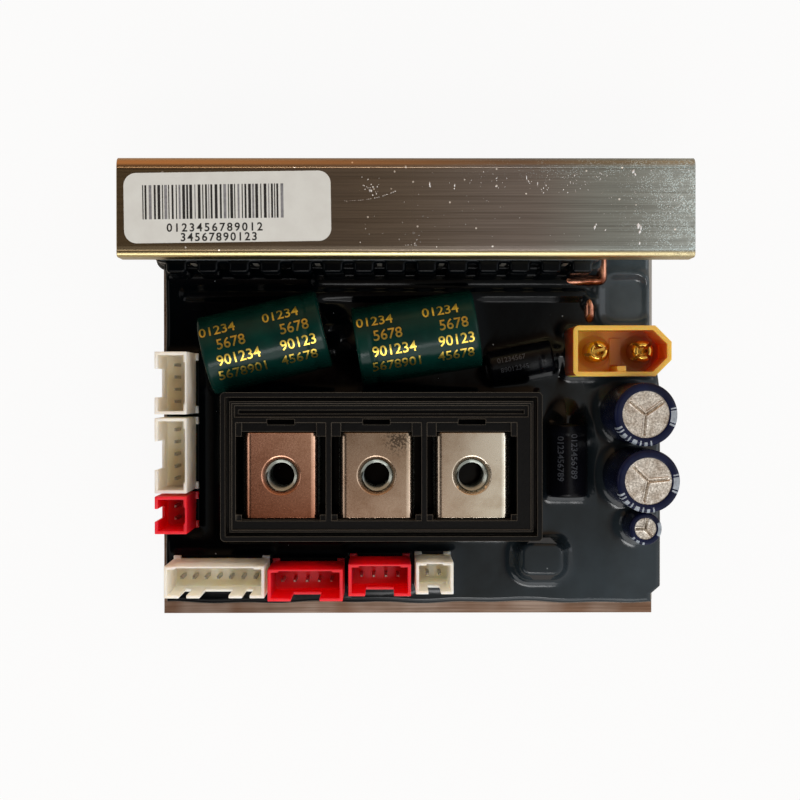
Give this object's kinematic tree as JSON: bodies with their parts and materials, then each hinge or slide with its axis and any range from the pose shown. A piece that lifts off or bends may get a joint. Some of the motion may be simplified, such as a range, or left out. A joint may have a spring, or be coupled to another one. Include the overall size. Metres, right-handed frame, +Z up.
{
  "type": "electronic speed controller",
  "caption": "Potted three-phase motor controller board on an aluminium plate, with a flat heatsink bar, tapped phase terminals, a battery inlet, capacitors and plug headers.",
  "frame": {"origin": "centre of the bounding box's underside: on the base plate's underside, midway along the heatsink bar and midway between the plate's front edge and the bar's back edge", "axes": "+X to the right along the heatsink bar, +Y from the plug headers at the front to the bar at the back, +Z up through the board"},
  "size_m": [0.092, 0.075, 0.0259],
  "materials": {
    "plate_aluminium": "mill finish",
    "bar_aluminium": "brushed",
    "steel": "zinc plated",
    "spacer_brass": "turned",
    "insulator": "satin film",
    "laminate": "solder mask",
    "potting_resin": "glossy, poured",
    "pad_silicone": "matt",
    "label_film": "printed paper film",
    "package_black": "moulded",
    "copper": "bare wire",
    "frame_black": "moulded",
    "nickel_plate": "plated",
    "header_white": "moulded",
    "header_red": "moulded",
    "pin_tin": "tin plated",
    "inlet_amber": "moulded",
    "contact_gold": "gold plated",
    "can_aluminium": "drawn",
    "sleeve_green": "shrunk film",
    "sleeve_navy": "shrunk film",
    "sleeve_black": "shrunk film",
    "ferrite": "sintered"
  },
  "bodies": {
    "root": {"base_plate": "plate_aluminium", "board_spacers": "spacer_brass", "bulk_capacitor_left_can": "can_aluminium", "bulk_capacitor_left_sleeve": "sleeve_green", "bulk_capacitor_right_can": "can_aluminium", "bulk_capacitor_right_sleeve": "sleeve_green", "bus_wire_front": "copper", "bus_wire_rear": "copper", "bypass_capacitor_can": "can_aluminium", "bypass_capacitor_sleeve": "sleeve_black", "circuit_board": "laminate", "current_shunts": "package_black", "filter_capacitor_can": "can_aluminium", "filter_capacitor_sleeve": "sleeve_black", "front_header_1_housing": "header_white", "front_header_1_pins": "pin_tin", "front_header_2_housing": "header_red", "front_header_2_pins": "pin_tin", "front_header_3_housing": "header_red", "front_header_3_pins": "pin_tin", "front_header_4_housing": "header_white", "front_header_4_pins": "pin_tin", "gate_drivers": "package_black", "heatsink_bar": "bar_aluminium", "heatsink_label": "label_film", "inductor_coil": "copper", "inductor_core": "ferrite", "inlet_contact_negative": "contact_gold", "inlet_contact_positive": "contact_gold", "inlet_housing": "inlet_amber", "insulating_sheet": "insulator", "left_header_front_housing": "header_red", "left_header_front_pins": "pin_tin", "left_header_middle_housing": "header_white", "left_header_middle_pins": "pin_tin", "left_header_rear_housing": "header_white", "left_header_rear_pins": "pin_tin", "microcontroller": "package_black", "phase_terminal_1": "nickel_plate", "phase_terminal_2": "nickel_plate", "phase_terminal_3": "nickel_plate", "plate_screws": "steel", "potting_compound": "potting_resin", "power_transistor_1": "package_black", "power_transistor_2": "package_black", "power_transistor_3": "package_black", "power_transistor_4": "package_black", "power_transistor_5": "package_black", "power_transistor_6": "package_black", "power_transistor_7": "package_black", "screw_nuts": "steel", "terminal_frame": "frame_black", "thermal_pad": "pad_silicone", "upright_capacitor_front_can": "can_aluminium", "upright_capacitor_front_sleeve": "sleeve_navy", "upright_capacitor_middle_can": "can_aluminium", "upright_capacitor_middle_sleeve": "sleeve_navy", "upright_capacitor_rear_can": "can_aluminium", "upright_capacitor_rear_sleeve": "sleeve_navy", "voltage_regulator": "package_black"}
  },
  "joints": []
}
